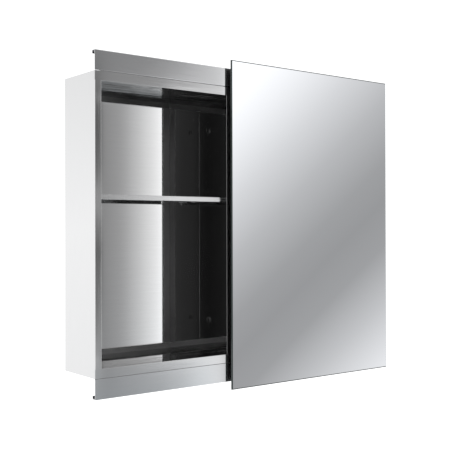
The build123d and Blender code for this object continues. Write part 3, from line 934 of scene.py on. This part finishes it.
def make_mirror():
    """The pane: a silvered face inside a ground arris, dark polished edges, and a dark back."""
    low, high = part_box("mirror_glass")
    centre = (low + high) / 2
    half = (high - low) / 2
    rings = (
        (low.y, ARRIS),
        (low.y + ARRIS * 0.35, ARRIS * 0.3),
        (low.y + ARRIS, 0.0),
        (high.y - ARRIS * 0.5, 0.0),
        (high.y, ARRIS * 0.5),
    )
    shape = bmesh.new()
    loops = []
    for y, inset in rings:
        corners = rectangle(
            centre.x - half.x + inset,
            centre.z - half.z + inset,
            centre.x + half.x - inset,
            centre.z + half.z - inset,
            PANE_CORNER - inset * 0.5,
        )
        loops.append([shape.verts.new((u, y, v)) for u, v in corners])
    shape.faces.new(loops[0])
    for near, far in zip(loops, loops[1:]):
        for i in range(len(near)):
            j = (i + 1) % len(near)
            shape.faces.new((near[j], near[i], far[i], far[j])).material_index = 1
    shape.faces.new(reversed(loops[-1])).material_index = 2
    materials = ["mirror", "glass_edge", "backing"]
    add_piece("mirror_pane", shape, "mirror_door", "mirror_glass", materials, "mirror_glass")


def make_plates():
    """Backing film, mounting tape and the two long carriers behind the pane."""
    low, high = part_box("backing_plate")
    shape = bmesh.new()
    sweep(shape, rectangle(low.x, low.z, high.x, high.z, PANE_CORNER), "Y", low.y, high.y)
    add_piece(
        "backing_film", shape, "mirror_door", "backing", ["backing"], "backing_plate", soften=FILM_SOFTEN
    )
    low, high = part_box("adhesive_strips")
    shape = bmesh.new()
    for carrier in ("left_carrier", "right_carrier"):
        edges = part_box(carrier)
        centre = (edges[0].x + edges[1].x) / 2
        start, end = centre - TAPE_WIDTH / 2, centre + TAPE_WIDTH / 2
        sweep(shape, rectangle(start, low.z, end, high.z, TAPE_CORNER), "Y", low.y, high.y)
    add_piece("mounting_tape", shape, "mirror_door", "adhesive", ["tape"], "adhesive_strips")
    for carrier in ("left_carrier", "right_carrier"):
        low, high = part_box(carrier)
        shape = bmesh.new()
        sweep(shape, rectangle(low.x, low.z, high.x, high.z, CARRIER_CORNER), "Y", low.y, high.y)
        add_piece(
            f"{carrier}_plate",
            shape,
            "mirror_door",
            "carrier_steel",
            ["carrier"],
            carrier,
            soften=CARRIER_SOFTEN,
        )


def make_axle(side):
    """A stepped pin from the carrier through the roller, with the clip's groove near its end."""
    node = f"{side}_axle"
    low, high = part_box(node)
    collar = (high.x - low.x) / 2
    collar_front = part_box(f"{side}_carrier")[1].y
    collar_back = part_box(f"{side}_roller")[0].y - 0.2 * MM
    clip_front, clip_back = (corner.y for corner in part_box("axle_clips"))
    rings = (
        (low.y, JOURNAL * 0.9),
        (low.y + AXLE_CHAMFER, JOURNAL),
        (collar_front, JOURNAL),
        (collar_front, collar * 0.95),
        (collar_front + AXLE_CHAMFER, collar),
        (collar_back - 0.2 * MM, collar),
        (collar_back, collar * 0.95),
        (collar_back, JOURNAL),
        (clip_front, JOURNAL),
        (clip_front, CLIP_GROOVE),
        (clip_back, CLIP_GROOVE),
        (clip_back, JOURNAL),
        (high.y - 0.5 * MM, JOURNAL),
        (high.y, JOURNAL * 0.8),
    )
    shape = bmesh.new()
    centre = ((low.x + high.x) / 2, 0, (low.z + high.z) / 2)
    lathe(shape, rings, centre, "Y", segments=36)
    materials = ["fastener_steel"]
    add_piece(f"{node}_pin", shape, "mirror_door", "fastener_steel", materials, node, smooth=True)


def make_roller(side):
    """A grooved roller whose flanges stand either side of the rail's lip, with dished faces."""
    node = f"{side}_roller"
    low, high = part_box(node)
    rim = (high.x - low.x) / 2
    flange = (high.y - low.y - RAIL_LIP_DEPTH) / 2 - ROLLER_GAP
    tread = rim - ROLLER_FLANGE_RISE
    bore = JOURNAL + JOURNAL_PLAY
    half = (
        (0.0, bore + BORE_CHAMFER),
        (0.0, bore + 1.4 * MM),
        (ROLLER_DISH, bore + 1.6 * MM),
        (ROLLER_DISH, rim - 1.8 * MM),
        (0.0, rim - 1.5 * MM),
        (0.0, rim - 0.3 * MM),
        (0.12 * MM, rim - 0.08 * MM),
        (0.35 * MM, rim),
        (flange - 0.6 * MM, rim),
        (flange - 0.45 * MM, rim - 0.1 * MM),
        (flange, tread + 0.2 * MM),
        (flange + 0.2 * MM, tread),
    )
    rings = [(low.y + along, radius) for along, radius in half]
    rings += [(high.y - along, radius) for along, radius in reversed(half)]
    rings += [(high.y - BORE_CHAMFER, bore), (low.y + BORE_CHAMFER, bore)]
    shape = bmesh.new()
    centre = ((low.x + high.x) / 2, 0, (low.z + high.z) / 2)
    lathe(shape, rings, centre, "Y", segments=64, hollow=True)
    add_piece(f"{node}_turned", shape, f"roller_{side}", "nylon", ["nylon"], node, smooth=True)


def make_guide(side):
    """A fork round the bottom rail's lip, with a solid foot under it."""
    node = f"{side}_guide"
    low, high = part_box(node)
    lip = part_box("bottom_rail")[0]
    slot_front = lip.y - GUIDE_GAP
    slot_back = lip.y + RAIL_LIP_DEPTH + GUIDE_GAP
    slot_floor = lip.z - GUIDE_GAP
    outline = (
        (low.y, low.z, MM),
        (low.y, high.z, 0.6 * MM),
        (slot_front, high.z, 0.8 * MM),
        (slot_front, slot_floor, MM),
        (slot_back, slot_floor, MM),
        (slot_back, high.z, 0.8 * MM),
        (high.y, high.z, 0.8 * MM),
        (high.y, low.z, MM),
    )
    shape = bmesh.new()
    sweep(shape, rounded_loop(outline), "X", low.x, high.x)
    add_piece(f"{node}_fork", shape, "mirror_door", "nylon", ["nylon"], node)


# ---------------------------------------------------------------- the whole

make_world()
make_floor()
make_camera()
make_overhead()
bpy.context.scene.view_settings.view_transform = "Standard"

dress_nodes()
for rail, panel, liner, up in (
    ("top_rail", "top_panel", "top_liner", 1), ("bottom_rail", "bottom_panel", "bottom_liner", -1)
):
    make_rail(rail, up)
    make_panel(panel, up)
    make_liner(liner, up)
    make_studs(f"{rail}_studs", up)
    make_nuts(f"{rail}_nuts", up)
    make_stops(f"{rail}_stops")
make_upright("left_side_panel", -1, True)
make_upright("right_side_panel", 1, True)
make_upright("divider_panel", 1, False)
make_shelf("left_shelf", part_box("left_side_panel")[1].x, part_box("divider_panel")[0].x)
make_shelf("right_shelf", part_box("divider_panel")[1].x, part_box("right_side_panel")[0].x)
make_pegs("left_shelf_pegs")
make_pegs("right_shelf_pegs")
make_plugs()
make_mirror()
make_plates()
for side in ("left", "right"):
    make_axle(side)
    make_roller(side)
    make_guide(side)
